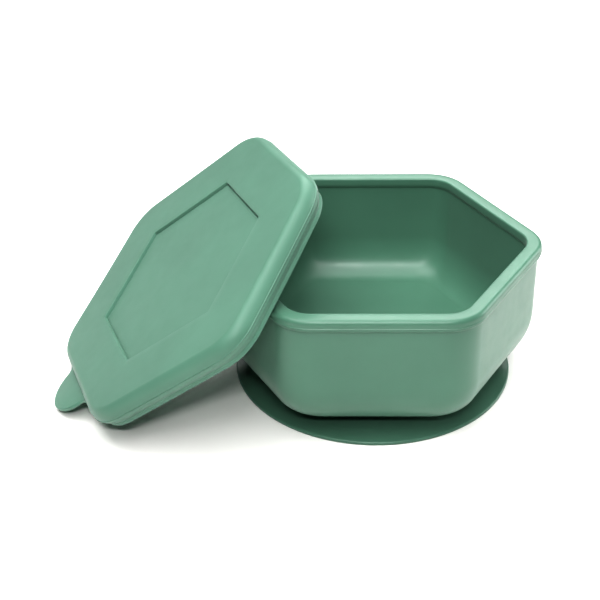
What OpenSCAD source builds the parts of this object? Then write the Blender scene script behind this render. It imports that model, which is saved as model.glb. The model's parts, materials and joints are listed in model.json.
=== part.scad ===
// Hexagonal silicone suction bowl with its press-on lid leaning on the rim.
// Origin: axis of the bowl at table level. +Z up, two corners of the bowl on the X axis.
// The lid has its own frame: Z along its top face's normal, origin at the middle of the top
// face, and the pull tab on the -X side. place_lid() leans that frame on the bowl.

/* [Bowl] */
// Width across the flats, over the rim band
rim_flats = 126; // [110:1:130]
// Height of the rim's top above the table
bowl_height = 61.7; // [58:0.1:70]
// Width of the flat-topped band along the rim
rim_w = 6.4; // [6:0.1:7]
// Height of the rim band
rim_h = 4.8; // [4.4:0.1:5]
// How far the rim band stands out from the outer wall
rim_over = 1.3; // [1:0.05:1.5]
// Radius of the band's outer top edge
rim_edge_r = 1.8; // [1:0.1:2.2]
// Radius of the band's inner top edge
rim_inner_r = 0.8; // [0.5:0.1:1.2]
// Thickness of the bowl's wall
wall_t = 4.3; // [4:0.1:4.6]
// Thickness of the bowl's floor
floor_t = 4.5; // [3:0.25:6]
// Outer radius of the rim's six corners
rim_corner_r = 18; // [14:0.5:21]
// Corner radius where the wall has rounded over into the flat underside
underside_corner_r = 18.5; // [14:0.5:22]
// Width of the rounding between wall and underside
base_round_w = 12; // [8:0.5:14]
// Height of the rounding between wall and underside
base_round_h = 20; // [12:0.5:26]
// Width of the rounding between the inner wall and the floor
inner_round_w = 12; // [8:0.5:14]
// Height of the rounding between the inner wall and the floor
inner_round_h = 18; // [10:0.5:24]

/* [Suction base] */
// Diameter of the suction disc
disc_d = 120; // [100:1:124]
// Thickness of the disc at its edge
disc_edge_t = 1.6; // [1.2:0.1:2]
// Thickness of the disc under the stem
disc_centre_t = 2.4; // [2:0.1:3]
// Width of the flat ring that seals on the table
seal_w = 9; // [5:0.5:12]
// Height of the vacuum dome under the disc
dome_h = 3.4; // [3:0.1:3.6]
// Diameter of the stem between the disc and the bowl
stem_d = 66; // [50:1:72]
// Height of the bowl's flat underside above the table
stand_h = 9; // [8.5:0.1:10]

/* [Lid] */
// Height of the lid
lid_h = 11.8; // [11.6:0.1:13]
// Thickness of the lid's top
lid_top_t = 3; // [2.5:0.1:3.2]
// Wall of the lid where it goes round the rim band
lid_wall_t = 1.7; // [1.4:0.1:2]
// Gap between the lid and the rim band when the lid is on
lid_gap = 0.3; // [0.2:0.05:0.5]
// Radius of the rounded shoulder between the top and the side
shoulder_r = 4; // [3:0.25:5]
// Width across the flats of the sunk panel in the top
panel_flats = 79; // [60:1:90]
// Depth of the sunk panel
panel_depth = 1; // [0.5:0.1:1.5]

/* [Pull tab] */
// Radius of the tab's round end
tab_r = 14.3; // [12:0.1:16]
// How far the tab reaches out from the lid's side
tab_reach = 13.2; // [12:0.1:16]
// Radius of the hollow corners where the tab leaves the lid
tab_root_r = 4; // [3:0.5:6]
// Thickness of the tab
tab_t = 1.8; // [1.5:0.1:2.2]
// Depth of the tab's upper face below the lid's top face, where it leaves the lid
tab_drop = 2.5; // [2.2:0.1:3.5]
// How far the table bends the tab up out of the lid's plane, in degrees
tab_rise = 4; // [0:1:10]

/* [Lean of the lid] */
// Tilt of the lid from level
lean_tilt = 41.5; // [39:0.1:45]
// Compass direction of the slope, from +X towards +Y
lean_heading = 11.3; // [5:0.1:15]
// Turn of the lid in its own plane
lean_turn = 11.9; // [8:0.1:16]
// Sideways place of the lid's middle, along Y
lean_y = -8.8; // [-12:0.1:-6]

/* [Hidden] */
$fn = 96;
corner_steps = 8;              // facets round one corner
bowl_green = "#7FAE95";
disc_green = "#4F7A66";
lid_green = "#82B199";

// Bowl: half widths across the flats, and corner radii that keep the wall even
rim_out = rim_flats / 2;
rim_in = rim_out - rim_w;
rim_low = bowl_height - rim_h;
wall_out = rim_out - rim_over;
wall_in = wall_out - wall_t;
wall_out_corner_r = rim_corner_r + wall_out - rim_out;
wall_in_corner_r = rim_corner_r + wall_in - rim_out;
floor_z = stand_h + floor_t;
floor_corner_r = underside_corner_r - wall_t / 2;

// Suction base
disc_r = disc_d / 2;
stem_r = stem_d / 2;
stem_z = dome_h + disc_centre_t;
stem_h = stand_h - stem_z;
stem_waist = 1.2;              // depth of the hollow round the stem

// Lid: half widths across the flats
lid_in = rim_out + lid_gap;
lid_out = lid_in + lid_wall_t;
lid_corner_r = rim_corner_r + lid_gap + lid_wall_t;
snap_in = wall_out + 0.25;     // the skirt that snaps in under the rim band
snap_z = -lid_top_t - rim_h - 0.9;
neck_out = snap_in + 0.8;      // bottom of the groove outside the skirt
lip_out = snap_in + 1.1;       // outer edge of the lower lip
panel_corner_r = 0.5;

// Pull tab
tab_low = tab_drop + tab_t;
tab_mid = tab_reach - tab_r;   // middle of the round end, outwards from the lid's side
tab_root_y = sqrt((tab_r + tab_root_r) ^ 2 - (tab_root_r - tab_mid) ^ 2);
tab_land_in = 5;               // how deep the land behind the tab goes into the lid

// The lean: the lid's lip or its tab is down by the table, whichever is lower, and its
// ceiling lies a small gap above the left corner of the rim
rest_gap = 0.3;
table_gap = 0.1;
lip_down = (lid_out - lid_corner_r) / cos(30) * cos(30 - lean_turn)
    + lid_corner_r - lid_out + lip_out;
tab_down = (lid_out + tab_mid) * cos(lean_turn) + tab_r;
tab_down_z = tab_low - tab_reach * sin(tab_rise);
lid_z = table_gap + max(lip_down * sin(lean_tilt) + lid_h * cos(lean_tilt),
    tab_down * sin(lean_tilt) + tab_down_z * cos(lean_tilt));
normal_x = -sin(lean_tilt) * cos(lean_heading);
normal_y = -sin(lean_tilt) * sin(lean_heading);
normal_z = cos(lean_tilt);
rim_corner_x = -(rim_out - rim_corner_r) / cos(30);
rim_reach = rim_corner_x * normal_x + (rim_corner_r - rim_edge_r) * sin(lean_tilt)
    + (bowl_height - rim_edge_r) * normal_z + rim_edge_r;
lid_x = (rim_reach + rest_gap + lid_top_t - lid_z * normal_z - lean_y * normal_y) / normal_x;

// One level ring of a rounded hexagon: half width across the flats, corner radius, height
function ring(half, r, z, turn = 0) =
    let (reach = (half - r) / cos(30))
    [for (k = [0:5]) for (j = [0:corner_steps])
        let (mid = 60 * k + turn, a = mid + 60 * (j / corner_steps - 0.5))
        [reach * cos(mid) + r * cos(a), reach * sin(mid) + r * sin(a), z]];

// A ring of the lid, whose flats face +-X, in step with the lid's outer corners
function lid_ring(half, z) = ring(half, lid_corner_r - lid_out + half, z, 30);

// Closed skin through a list of rings, capped by a fan at each end
module skin(rings) {
    count = len(rings[0]);
    last = len(rings) - 1;
    points = concat([[0, 0, rings[0][0].z]], [for (r = rings) each r],
        [[0, 0, rings[last][0].z]]);
    end = len(points) - 1;
    faces = concat(
        [for (j = [0:count - 1]) [0, 1 + j, 1 + (j + 1) % count]],
        [for (i = [0:last - 1]) for (j = [0:count - 1])
            let (a = 1 + i * count + j, b = 1 + i * count + (j + 1) % count)
            each [[a, a + count, b + count], [a, b + count, b]]],
        [for (j = [0:count - 1])
            [end, 1 + last * count + (j + 1) % count, 1 + last * count + j]]);
    polyhedron(points, faces);
}

// A ring of the bowl's wall or rim, in step with the rim's outer corners
function rim_ring(half, z) = ring(half, rim_corner_r - rim_out + half, z);

// The bowl: rounded underside, upright wall, flat-topped rim band, inner wall and floor
module bowl_shell() {
    round_steps = 7;
    edge_steps = 4;
    chamfer = 0.4;
    outside = [for (i = [0:round_steps]) let (a = 90 * i / round_steps, in = 1 - sin(a))
        ring(wall_out - base_round_w * in,
            wall_out_corner_r + (underside_corner_r - wall_out_corner_r) * in,
            stand_h + base_round_h * (1 - cos(a)))];
    under_rim = [
        rim_ring(wall_out, rim_low),
        rim_ring(rim_out - chamfer, rim_low),
        rim_ring(rim_out, rim_low + chamfer)];
    outer_edge = [for (i = [0:edge_steps]) let (a = 90 * i / edge_steps)
        rim_ring(rim_out - rim_edge_r * (1 - cos(a)), bowl_height - rim_edge_r * (1 - sin(a)))];
    inner_edge = [for (i = [0:edge_steps]) let (a = 90 * i / edge_steps)
        rim_ring(rim_in + rim_inner_r * (1 - sin(a)), bowl_height - rim_inner_r * (1 - cos(a)))];
    inside_rim = [
        rim_ring(rim_in, rim_low + 1.2),
        rim_ring(wall_in, rim_low - 0.3)];
    inside = [for (i = [0:round_steps]) let (a = 90 * i / round_steps, in = 1 - cos(a))
        ring(wall_in - inner_round_w * in,
            wall_in_corner_r + (floor_corner_r - wall_in_corner_r) * in,
            floor_z + inner_round_h * (1 - sin(a)))];
    color(bowl_green) skin(concat(outside, under_rim, outer_edge, inner_edge, inside_rim, inside));
}

// The short waisted stem that joins the bowl to the suction disc
module suction_stem() {
    waist_r = (stem_h ^ 2 / 4 + stem_waist ^ 2) / (2 * stem_waist);
    color(bowl_green)
        rotate_extrude()
            difference() {
                translate([0, stem_z]) square([stem_r, stem_h]);
                translate([stem_r - stem_waist + waist_r, stem_z + stem_h / 2])
                    circle(r = waist_r);
            }
}

// The thin suction disc: a flat sealing ring round a low vacuum dome
module suction_disc() {
    seal_r = disc_r - seal_w;
    edge_r = disc_edge_t / 2;
    color(disc_green)
        rotate_extrude()
            union() {
                polygon([
                    [0, dome_h], [stem_r - 4, dome_h], [seal_r - 6, 0.9], [seal_r, 0],
                    [disc_r - edge_r, 0], [disc_r - edge_r, disc_edge_t],
                    [disc_r - 7, disc_edge_t + 0.3], [stem_r + 10, stem_z - 2.4],
                    [stem_r + 3, stem_z - 0.5], [stem_r, stem_z], [0, stem_z]]);
                translate([disc_r - edge_r, edge_r]) circle(r = edge_r);
            }
}

// The lid's shell in its own frame: ceiling, skirt, lip, groove, shoulder and sunk panel
module lid_shell() {
    shoulder_steps = 6;
    inside = [
        lid_ring(lid_in - 2.2, -lid_top_t),
        lid_ring(lid_in - 0.6, -lid_top_t - 0.7),
        lid_ring(lid_in, -lid_top_t - 2.4),
        lid_ring(lid_in, snap_z + 1.3),
        lid_ring(snap_in, snap_z),
        lid_ring(snap_in, -lid_h)];
    outside = [
        lid_ring(lip_out, -lid_h),
        lid_ring(lip_out, -lid_h + 0.9),
        lid_ring(neck_out, -lid_h + 2),
        lid_ring(lid_out - 1.1, -lid_h + 3.8),
        lid_ring(lid_out - 0.3, -lid_h + 5.4)];
    shoulder = [for (i = [0:shoulder_steps]) let (a = 90 * i / shoulder_steps)
        lid_ring(lid_out - shoulder_r * (1 - cos(a)), -shoulder_r * (1 - sin(a)))];
    panel = [for (z = [0, -panel_depth]) ring(panel_flats / 2, panel_corner_r, z, 30)];
    skin(concat(inside, outside, shoulder, panel));
}

// Leans the lid's own frame on the bowl
module place_lid() {
    translate([lid_x, lean_y, lid_z])
        rotate([0, 0, lean_heading])
            rotate([0, -lean_tilt, 0])
                rotate([0, 0, lean_turn])
                    children();
}

// The lid, with the land in its side that the pull tab grows from
module lid() {
    color(lid_green)
        place_lid()
            union() {
                lid_shell();
                translate([-lid_out, -tab_root_y, -tab_low])
                    cube([tab_land_in, 2 * tab_root_y, tab_t]);
            }
}

// Outline of the pull tab, outwards along +X: a round end with hollow root corners
module tab_outline() {
    difference() {
        union() {
            translate([tab_mid, 0]) circle(r = tab_r);
            translate([0, -tab_root_y]) square([tab_root_r, 2 * tab_root_y]);
        }
        for (side = [-1, 1])
            translate([tab_root_r, side * tab_root_y]) circle(r = tab_root_r);
        translate([-2 * tab_r, -tab_r]) square([2 * tab_r, 2 * tab_r]);
    }
}

// The pull tab, which bends about the line where it leaves the lid
module pull_tab() {
    color(lid_green)
        place_lid()
            translate([-lid_out, 0, -tab_drop])
                rotate([0, -tab_rise, 180])
                    translate([0, 0, -tab_t])
                        linear_extrude(tab_t) tab_outline();
}

bowl_shell();
suction_stem();
suction_disc();
lid();
pull_tab();
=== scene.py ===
"""Looks of the hexagonal silicone suction bowl and its leaning lid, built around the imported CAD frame."""
import json
import math

import bpy
import bmesh
from mathutils import Matrix, Vector


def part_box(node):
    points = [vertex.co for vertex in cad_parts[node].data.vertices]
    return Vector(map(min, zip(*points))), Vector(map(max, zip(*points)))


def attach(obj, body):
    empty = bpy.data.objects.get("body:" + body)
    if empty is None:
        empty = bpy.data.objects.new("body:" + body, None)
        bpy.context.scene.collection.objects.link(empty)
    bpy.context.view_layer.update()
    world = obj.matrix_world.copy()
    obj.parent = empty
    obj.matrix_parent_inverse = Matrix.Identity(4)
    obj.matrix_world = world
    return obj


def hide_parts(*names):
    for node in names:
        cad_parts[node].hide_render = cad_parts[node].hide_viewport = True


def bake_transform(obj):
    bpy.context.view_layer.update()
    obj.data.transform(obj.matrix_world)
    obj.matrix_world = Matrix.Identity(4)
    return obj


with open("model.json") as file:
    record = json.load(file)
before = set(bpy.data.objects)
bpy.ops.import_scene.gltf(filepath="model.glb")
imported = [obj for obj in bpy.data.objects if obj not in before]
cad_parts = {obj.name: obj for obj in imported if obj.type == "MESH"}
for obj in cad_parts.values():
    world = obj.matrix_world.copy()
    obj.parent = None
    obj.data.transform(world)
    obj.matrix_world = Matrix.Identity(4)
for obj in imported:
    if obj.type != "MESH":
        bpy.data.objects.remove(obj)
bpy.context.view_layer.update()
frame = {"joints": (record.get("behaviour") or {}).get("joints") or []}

MM = 0.001

# ---- Sizes, in millimetres, read from the frame ----
bowl_low, bowl_high = (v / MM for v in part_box("bowl_shell"))
disc_low, disc_high = (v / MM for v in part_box("suction_disc"))
stem_low, stem_high = (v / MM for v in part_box("suction_stem"))
RIM_HALF = bowl_high.y                  # half the width across the flats, over the rim band
RIM_TOP = bowl_high.z
STAND = bowl_low.z                      # the bowl's flat underside
DISC_R = disc_high.x
DISC_TOP = disc_high.z
STEM_R = stem_high.x

# ---- Sizes that the frame doesn't state, in millimetres: the moulding's own details ----
RIM_OVER = 1.3                          # how far the rim band stands out from the outer wall
RIM_DEEP = 4.8                          # height of the rim band
WALL = 4.3
FLOOR = 4.5
RIM_CORNER = 18.0                       # corner radius round the outside of the rim band
UNDERSIDE_CORNER = 18.5                 # corner radius at the edge of the flat underside
BOWL_SEAM = 0.2                         # how far the parting lines stand out
LID_SEAM = 0.28
BASE_ROUND = (12.2, 20.0)               # width and height of the outer rounding
INNER_ROUND = (12.0, 18.0)              # width and height of the inner rounding
DOME = 3.4                              # height of the vacuum dome under the disc
DISC_EDGE = 1.6
SEAL = 9.0                              # width of the flat sealing ring
WAIST = 1.2                             # how far the stem draws in at its middle
LID_TOP = 3.0
LID_HEIGHT = 11.8
LID_HALF = RIM_HALF + 2.0               # half the lid's greatest width across the flats
LID_CORNER = 20.0
SHOULDER = (4.0, 5.3)                   # width and height of the rounded shoulder
PANEL_HALF = 39.5
PANEL_DEEP = 1.1
PANEL_GROOVE = 0.4                      # depth of the groove round the panel's foot
PANEL_ASIDE = Vector((0.1, -0.75, 0))   # the panel's middle, off the lid's middle
TAB_R = 14.3
TAB_REACH = 13.2
TAB_ROOT_R = 4.0
TAB_THICK = 1.8
TAB_DROP = 2.5                          # the tab's upper face, below the lid's top face
TAB_RISE = math.radians(4)
LEAN_TILT = math.radians(41.5)
LEAN_HEADING = math.radians(11.3)
LEAN_TURN = math.radians(11.9)

LID_SAG = (1.0, 0.7, -0.3)              # flex of the leaning lid at its edge: lengthwise, twist, crosswise
LID_SETTLE = Vector((-0.15, 0, -0.45))  # how far that flex lets it settle

WALL_OUT = RIM_HALF - RIM_OVER          # half widths across the flats
WALL_IN = WALL_OUT - WALL
BAND_LOW = RIM_TOP - RIM_DEEP

CORNER_STEPS = 16
SIDE_STEPS = 8


# ---- Mesh helpers ----
def hexagon(half, radius, z, turn=0.0):
    """A level ring of a rounded hexagon, in millimetres: half width across the flats and corner radius."""
    radius = min(radius, 0.9 * half)    # the innermost rings keep a short straight side
    reach = (half - radius) / math.cos(math.pi / 6)
    ring = []
    for k in range(6):
        middle = math.pi / 3 * k + turn
        arc = []
        for j in range(CORNER_STEPS + 1):
            a = middle + math.pi / 3 * (j / CORNER_STEPS - 0.5)
            arc.append(Vector((reach * math.cos(middle) + radius * math.cos(a),
                               reach * math.sin(middle) + radius * math.sin(a), z)))
        ring += arc
        following = middle + math.pi / 3
        a = middle + math.pi / 6
        start = arc[-1]
        end = Vector((reach * math.cos(following) + radius * math.cos(a),
                      reach * math.sin(following) + radius * math.sin(a), z))
        ring += [start.lerp(end, j / SIDE_STEPS) for j in range(1, SIDE_STEPS)]
    return ring


def circle(radius, z, steps=192):
    """A level ring of a circle, in millimetres."""
    return [Vector((radius * math.cos(a), radius * math.sin(a), z))
            for a in (2 * math.pi * j / steps for j in range(steps))]


def rounded(corners, steps=6):
    """A profile through corners given as (x, z, radius), with an arc of that radius at each."""
    points = []
    for i, (x, z, radius) in enumerate(corners):
        here = Vector((x, z))
        if radius == 0 or i in (0, len(corners) - 1):
            points.append(here)
            continue
        before = (Vector(corners[i - 1][:2]) - here).normalized()
        after = (Vector(corners[i + 1][:2]) - here).normalized()
        half_angle = before.angle(after) / 2
        middle = here + (before + after).normalized() * radius / math.sin(half_angle)
        start = here + before * radius / math.tan(half_angle) - middle
        turn = start.angle_signed(here + after * radius / math.tan(half_angle) - middle)
        for j in range(steps + 1):
            swing = Matrix.Rotation(-turn * j / steps, 2)
            points.append(middle + swing @ start)
    return points


def spaced(profile, longest=2.0):
    """The profile with its long straight stretches divided into even steps."""
    points = [profile[0]]
    for end in profile[1:]:
        start = points[-1]
        count = max(1, math.ceil((end - start).length / longest))
        points += [start.lerp(end, j / count) for j in range(1, count + 1)]
    return points


def skin(name, rings):
    """A closed smooth mesh through a list of rings in millimetres, capped at both ends."""
    mesh = bmesh.new()
    rows = [[mesh.verts.new(p * MM) for p in ring] for ring in rings]
    count = len(rows[0])
    for lower, upper in zip(rows, rows[1:]):
        for j in range(count):
            k = (j + 1) % count
            mesh.faces.new((lower[j], lower[k], upper[k], upper[j]))
    for row in (rows[0], rows[-1]):
        middle = sum((v.co for v in row), Vector()) / count
        centre = mesh.verts.new(middle)
        for j in range(count):
            mesh.faces.new((centre, row[j], row[(j + 1) % count]))
    bmesh.ops.recalc_face_normals(mesh, faces=mesh.faces)
    return finished(name, mesh)


def finished(name, mesh):
    """The bmesh as a smooth-shaded object, linked to the scene."""
    data = bpy.data.meshes.new(name)
    mesh.to_mesh(data)
    mesh.free()
    data.shade_smooth()
    data.set_sharp_from_angle(angle=math.radians(50))
    piece = bpy.data.objects.new(name, data)
    bpy.context.scene.collection.objects.link(piece)
    return piece


# ---- Materials ----
def silicone(name, colour, roughness, sheen=0.1):
    """Moulded silicone: fine-grained, slightly translucent, with faint flow marks and uneven gloss."""
    material = bpy.data.materials.new(name)
    material.use_nodes = True
    nodes = material.node_tree.nodes
    link = material.node_tree.links.new
    shader = nodes["Principled BSDF"]
    shader.inputs["IOR"].default_value = 1.43
    shader.inputs["Subsurface Weight"].default_value = 0.12
    shader.inputs["Subsurface Radius"].default_value = (0.6, 1.0, 0.8)
    shader.inputs["Subsurface Scale"].default_value = 0.002
    shader.inputs["Sheen Weight"].default_value = sheen
    shader.inputs["Sheen Roughness"].default_value = 0.45

    where = nodes.new("ShaderNodeTexCoord")

    def noise(scale, detail):
        texture = nodes.new("ShaderNodeTexNoise")
        texture.inputs["Scale"].default_value = scale
        texture.inputs["Detail"].default_value = detail
        link(where.outputs["Object"], texture.inputs["Vector"])
        return texture.outputs["Fac"]

    def spread(source, low, high):
        ranged = nodes.new("ShaderNodeMapRange")
        ranged.inputs["From Min"].default_value = 0.3
        ranged.inputs["From Max"].default_value = 0.7
        ranged.inputs["To Min"].default_value = low
        ranged.inputs["To Max"].default_value = high
        link(source, ranged.inputs["Value"])
        return ranged.outputs["Result"]

    tint = nodes.new("ShaderNodeMix")
    tint.data_type = "RGBA"
    tint.inputs["A"].default_value = (*[0.95 * c for c in colour], 1)
    tint.inputs["B"].default_value = (*[min(1.0, 1.05 * c) for c in colour], 1)
    link(spread(noise(28, 3), 0.0, 1.0), tint.inputs["Factor"])
    link(tint.outputs["Result"], shader.inputs["Base Color"])
    link(spread(noise(160, 4), roughness - 0.03, roughness + 0.03), shader.inputs["Roughness"])

    grain = nodes.new("ShaderNodeBump")
    grain.inputs["Strength"].default_value = 0.25
    grain.inputs["Distance"].default_value = 0.00003
    link(noise(3500, 2), grain.inputs["Height"])
    link(grain.outputs["Normal"], shader.inputs["Normal"])
    return material


BOWL = silicone("bowl_silicone", (0.087, 0.193, 0.138), 0.34)
# The disc's silicone is the bowl's colour made about 14 per cent darker: painted shade standing in for the
# bowl's shadow over the disc.
BASE = silicone("base_silicone", (0.075, 0.167, 0.119), 0.38)
LID = silicone("lid_silicone", (0.099, 0.210, 0.155), 0.47)


# ---- The bowl ----
def rim_section(outer_foot, inner_foot):
    """The wall's section up the outside, round the rim band with its parting line, and down the inside."""
    outer, inner, top = RIM_HALF, WALL_IN - 0.85, RIM_TOP
    crown = 0.12
    seam = BAND_LOW + 1.5
    return rounded([
        (WALL_OUT, outer_foot, 0), (WALL_OUT, BAND_LOW + 0.1, 0.35), (outer - 0.1, BAND_LOW - 0.1, 0.45),
        (outer - 0.08, seam - 0.22, 0.2), (outer + BOWL_SEAM, seam, 0.06), (outer, seam + 0.22, 0.2),
        (outer, top, 1.8), ((outer + inner) / 2, top + crown, 20), (inner, top, 0.8),
        (inner - 0.05, top - 3.4, 3), (WALL_IN, BAND_LOW - 0.3, 0.25), (WALL_IN, inner_foot, 0)])


def bowl_rings():
    """Underside, base rounding, wall, rim band, inner wall and floor."""
    steps = 22
    out_corner = RIM_CORNER - RIM_OVER
    in_corner = out_corner - WALL
    floor_corner = UNDERSIDE_CORNER - WALL / 2

    rings = [hexagon(s * (WALL_OUT - BASE_ROUND[0]), UNDERSIDE_CORNER, STAND) for s in (0.05, 0.4, 0.8)]
    for i in range(steps + 1):
        a = math.pi / 2 * i / steps
        inset = 1 - math.sin(a)
        rings.append(hexagon(WALL_OUT - BASE_ROUND[0] * inset,
                             out_corner + (UNDERSIDE_CORNER - out_corner) * inset,
                             STAND + BASE_ROUND[1] * (1 - math.cos(a))))

    section = spaced(rim_section(STAND + BASE_ROUND[1], STAND + FLOOR + INNER_ROUND[1]))
    section = section[1:-1]
    for x, z in section:
        rings.append(hexagon(x, RIM_CORNER + x - RIM_HALF, z))

    for i in range(steps + 1):
        a = math.pi / 2 * i / steps
        inset = 1 - math.cos(a)
        rings.append(hexagon(WALL_IN - INNER_ROUND[0] * inset,
                             in_corner + (floor_corner - in_corner) * inset,
                             STAND + FLOOR + INNER_ROUND[1] * (1 - math.sin(a))))
    rings += [hexagon(s * (WALL_IN - INNER_ROUND[0]), floor_corner, STAND + FLOOR) for s in (0.8, 0.4, 0.05)]
    return rings


bowl = skin("bowl", bowl_rings())
bowl.data.materials.append(BOWL)
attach(bowl, "bowl")
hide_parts("bowl_shell")


# ---- The stem and the suction disc ----
def stem_rings():
    """A waisted stem, flared softly into the disc below and the bowl above."""
    steps = 16
    heights = [stem_low.z + (stem_high.z - stem_low.z) * i / steps for i in range(steps + 1)]
    rings = [circle(s * STEM_R, heights[0]) for s in (0.1, 0.6)]
    for i, z in enumerate(heights):
        rings.append(circle(STEM_R - WAIST * math.sin(math.pi * i / steps) ** 0.6, z))
    return rings + [circle(s * STEM_R, heights[-1]) for s in (0.6, 0.1)]


stem = skin("stem", stem_rings())
stem.data.materials.append(BOWL)
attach(stem, "bowl")
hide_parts("suction_stem")


def disc_rings():
    """The disc's section: dome, sealing ring, round edge and dished upper face."""
    section = rounded([
        (1.0, DOME, 0), (STEM_R - 4, DOME, 12), (DISC_R - SEAL - 6, 0.9, 8), (DISC_R - SEAL, 0.0, 3),
        (DISC_R, 0.0, 0.55), (DISC_R, DISC_EDGE, 0.7), (DISC_R - 7, DISC_EDGE + 0.3, 10),
        (STEM_R + 10, DISC_TOP - 2.4, 20), (STEM_R, DISC_TOP, 0.3), (1.0, DISC_TOP, 0)], 8)
    return [circle(x, z) for x, z in section]


disc = skin("disc", disc_rings())
# The disc takes the darker copy of the silicone, whose extra darkness is painted shade.
disc.data.materials.append(BASE)
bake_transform(disc)
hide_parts("suction_disc")


# ---- The lid: its frame follows from the tab's joint ----
tab_joint = next(j for j in frame["joints"] if j["name"] == "tab_flex")
lean = (Matrix.Rotation(LEAN_HEADING, 4, "Z") @ Matrix.Rotation(-LEAN_TILT, 4, "Y")
        @ Matrix.Rotation(LEAN_TURN, 4, "Z"))
hinge = Vector(tab_joint["pos_m"]) / MM
lid_place = Matrix.Translation(hinge - lean @ Vector((-LID_HALF, 0, -TAB_DROP)) + LID_SETTLE) @ lean


def flexed(p):
    """A point of the lid's own frame, moved as the leaning lid flexes under its own weight."""
    x, y = p.x / LID_HALF, p.y / LID_HALF
    return Vector((p.x, p.y, p.z + LID_SAG[0] * x * x + LID_SAG[1] * x * y + LID_SAG[2] * y * y))


def lid_rings():
    """Ceiling, skirt, lip, groove, parting line, shoulder, top and sunk panel."""
    skirt = WALL_OUT + 0.25
    neck = skirt + 0.8
    lip = skirt + 1.1
    hook_z = -LID_TOP - RIM_DEEP - 0.9
    seam_z = -SHOULDER[1] - 0.25
    pocket = RIM_HALF + 0.3
    under = spaced(rounded([
        (1.0, -LID_TOP, 0), (pocket, -LID_TOP, 2.6), (pocket, hook_z + 1.3, 1.0),
        (skirt, hook_z, 0.3), (skirt, -LID_HEIGHT, 0.2), (lip, -LID_HEIGHT, 0.3),
        (lip, -LID_HEIGHT + 0.9, 0.4), (neck, -LID_HEIGHT + 1.9, 0.7),
        (LID_HALF - 0.2, -LID_HEIGHT + 4.6, 2.0), (LID_HALF, seam_z - 0.2, 0)]), 4.0)
    seam = [Vector((LID_HALF + LID_SEAM, seam_z)), Vector((LID_HALF, seam_z + 0.22))]
    shoulder = []
    for i in range(25):
        a = math.pi / 2 * i / 24
        shoulder.append(Vector((LID_HALF - SHOULDER[0] * (1 - math.cos(a)),
                                -SHOULDER[1] * (1 - math.sin(a)))))
    top = [Vector((LID_HALF - SHOULDER[0] - 4 * i, 0)) for i in (1, 2, 3, 4)]
    rings = [hexagon(x, LID_CORNER + x - LID_HALF, z, math.pi / 6) for x, z in under + seam + shoulder + top]
    groove_z = -PANEL_DEEP - PANEL_GROOVE
    panel = rounded([(PANEL_HALF + 3, 0, 0), (PANEL_HALF, 0, 0.16), (PANEL_HALF - 0.05, groove_z, 0.12),
                     (PANEL_HALF - 0.5, groove_z, 0.12), (PANEL_HALF - 0.75, -PANEL_DEEP, 0.2),
                     (PANEL_HALF - 3, -PANEL_DEEP, 0)], 4)
    panel += [Vector((s * PANEL_HALF, -PANEL_DEEP)) for s in (0.6, 0.3, 0.05)]
    return rings + [[p + PANEL_ASIDE for p in hexagon(x, 0.5, z, math.pi / 6)] for x, z in panel]


lid = skin("lid_cover", [[lid_place @ flexed(p) for p in ring] for ring in lid_rings()])
lid.data.materials.append(LID)
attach(lid, "lid")
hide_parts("lid")


# ---- The pull tab ----
def tab_outline():
    """The tab's outline, outwards along +X from the lid's side, with hollow root corners."""
    middle = TAB_REACH - TAB_R
    root_y = math.sqrt((TAB_R + TAB_ROOT_R) ** 2 - (TAB_ROOT_R - middle) ** 2)
    bury = 2.5
    meet = math.atan2(root_y, TAB_ROOT_R - middle)
    half = [Vector((-bury, root_y))]
    for j in range(13):
        a = math.pi + meet * j / 12
        half.append(Vector((TAB_ROOT_R + TAB_ROOT_R * math.cos(a), root_y + TAB_ROOT_R * math.sin(a))))
    for j in range(1, 33):
        a = meet * (1 - j / 32)
        half.append(Vector((middle + TAB_R * math.cos(a), TAB_R * math.sin(a))))
    return half + [Vector((p.x, -p.y)) for p in reversed(half[:-1])]


def pull_tab():
    """The tab as a plate with rounded edges, cut across so that it can bend."""
    edge = 0.7
    outline = tab_outline()
    flat = bmesh.new()
    flat.faces.new([flat.verts.new((p.x, p.y, -TAB_THICK)) for p in outline])
    raised = bmesh.ops.extrude_face_region(flat, geom=flat.faces[:])
    lifted = [v for v in raised["geom"] if isinstance(v, bmesh.types.BMVert)]
    bmesh.ops.translate(flat, vec=(0, 0, TAB_THICK), verts=lifted)
    rims = [e for e in flat.edges if abs(e.verts[0].co.z - e.verts[1].co.z) < 1e-6 and e.is_manifold]
    bmesh.ops.bevel(flat, geom=rims, offset=edge, segments=5, profile=0.5, affect="EDGES")
    for i in range(1, 30):
        bmesh.ops.bisect_plane(flat, geom=flat.verts[:] + flat.edges[:] + flat.faces[:],
                               plane_co=(-2.5 + 0.5 * i, 0, 0), plane_no=(1, 0, 0))
    outward = (Matrix.Translation((-LID_HALF, 0, -TAB_DROP)) @ Matrix.Rotation(math.pi, 4, "Z")
               @ Matrix.Rotation(-TAB_RISE, 4, "Y"))
    for v in flat.verts:
        v.co = lid_place @ flexed(outward @ v.co) * MM
    bmesh.ops.recalc_face_normals(flat, faces=flat.faces)
    return finished("tab", flat)


tab = pull_tab()
tab.data.materials.append(LID)
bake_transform(tab)
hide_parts("pull_tab")


# ---- Floor, light and camera ----
LIGHT_AIM = Vector((-0.03, 0, 0.02))
FLOOR_R = 620.0                         # in millimetres


def floor():
    """A plain pale floor under everything."""
    mesh = bpy.data.meshes.new("floor")
    edge = [p * MM for p in circle(FLOOR_R, 0.0)]
    mesh.from_pydata(edge, [], [range(len(edge))])
    plate = bpy.data.objects.new("floor", mesh)
    bpy.context.scene.collection.objects.link(plate)
    pale = bpy.data.materials.new("floor_paper")
    pale.use_nodes = True
    paper = pale.node_tree.nodes["Principled BSDF"]
    paper.inputs["Base Color"].default_value = (0.945, 0.92, 0.905, 1)
    paper.inputs["Roughness"].default_value = 0.7
    plate.data.materials.append(pale)


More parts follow.
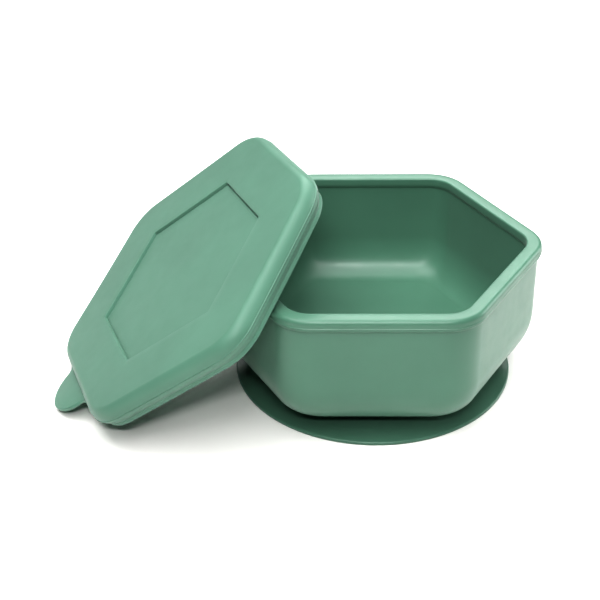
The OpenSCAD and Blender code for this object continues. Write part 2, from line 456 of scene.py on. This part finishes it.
def softbox(name, azimuth, elevation, size, power, distance=1.2):
    """A studio softbox aimed at the object, azimuth from +X towards +Y, in degrees."""
    around, above = math.radians(azimuth), math.radians(elevation)
    ray = Vector((math.cos(above) * math.cos(around), math.cos(above) * math.sin(around), math.sin(above)))
    lamp = bpy.data.lights.new(name, "AREA")
    lamp.shape = "RECTANGLE"
    lamp.size, lamp.size_y = size
    lamp.energy = power
    holder = bpy.data.objects.new(name, lamp)
    holder.location = LIGHT_AIM + distance * ray
    holder.rotation_euler = (-ray).to_track_quat("-Z", "Y").to_euler()
    bpy.context.scene.collection.objects.link(holder)


def studio():
    """Soft light all round, strongest from the right and the back, with a white backdrop that gives no light."""
    world = bpy.data.worlds.new("studio")
    world.use_nodes = True
    backdrop = world.node_tree.nodes["Background"]
    backdrop.inputs["Color"].default_value = (1, 1, 1, 1)
    seen = world.node_tree.nodes.new("ShaderNodeLightPath")
    strength = world.node_tree.nodes.new("ShaderNodeMapRange")
    strength.inputs["To Min"].default_value = 0.01
    strength.inputs["To Max"].default_value = 1.0
    world.node_tree.links.new(seen.outputs["Is Camera Ray"], strength.inputs["Value"])
    world.node_tree.links.new(strength.outputs["Result"], backdrop.inputs["Strength"])
    bpy.context.scene.world = world
    softbox("right", 20, 14, (0.7, 0.6), 9.2)
    softbox("back", 85, 42, (0.9, 0.6), 11.3)
    softbox("above_left", 200, 70, (0.4, 0.4), 3.6, 0.75)
    softbox("front", 257, 55, (0.6, 0.6), 7.7)
    softbox("above_right", 300, 64, (0.35, 0.35), 1.1, 0.6)
    softbox("overhead", 60, 82, (0.3, 0.3), 1.3, 0.55)
    softbox("front_strip", 272, 42, (0.30, 0.06), 6.0)
    softbox("left", 135, 14, (0.5, 0.5), 1.0)


def camera():
    """The camera of the reference view, from its place, its aim and its roll."""
    yaw, pitch, roll = (math.radians(a) for a in (-1.54, 32.03, -0.85))
    ahead = Vector((math.sin(yaw) * math.cos(pitch), math.cos(yaw) * math.cos(pitch), -math.sin(pitch)))
    level = Vector((math.cos(yaw), -math.sin(yaw), 0))
    upright = level.cross(ahead)
    right = level * math.cos(roll) + upright * math.sin(roll)
    up = upright * math.cos(roll) - level * math.sin(roll)
    lens = bpy.data.cameras.new("camera")
    lens.sensor_width = 36
    lens.lens = 78.25
    eye = bpy.data.objects.new("camera", lens)
    turn = Matrix((right, up, -ahead)).transposed()
    eye.matrix_world = Matrix.Translation((-0.0187, -0.4767, 0.3305)) @ turn.to_4x4()
    bpy.context.scene.collection.objects.link(eye)
    bpy.context.scene.camera = eye


floor()
studio()
camera()
bpy.context.scene.view_settings.view_transform = "Standard"
bpy.context.scene.view_settings.gamma = 0.75
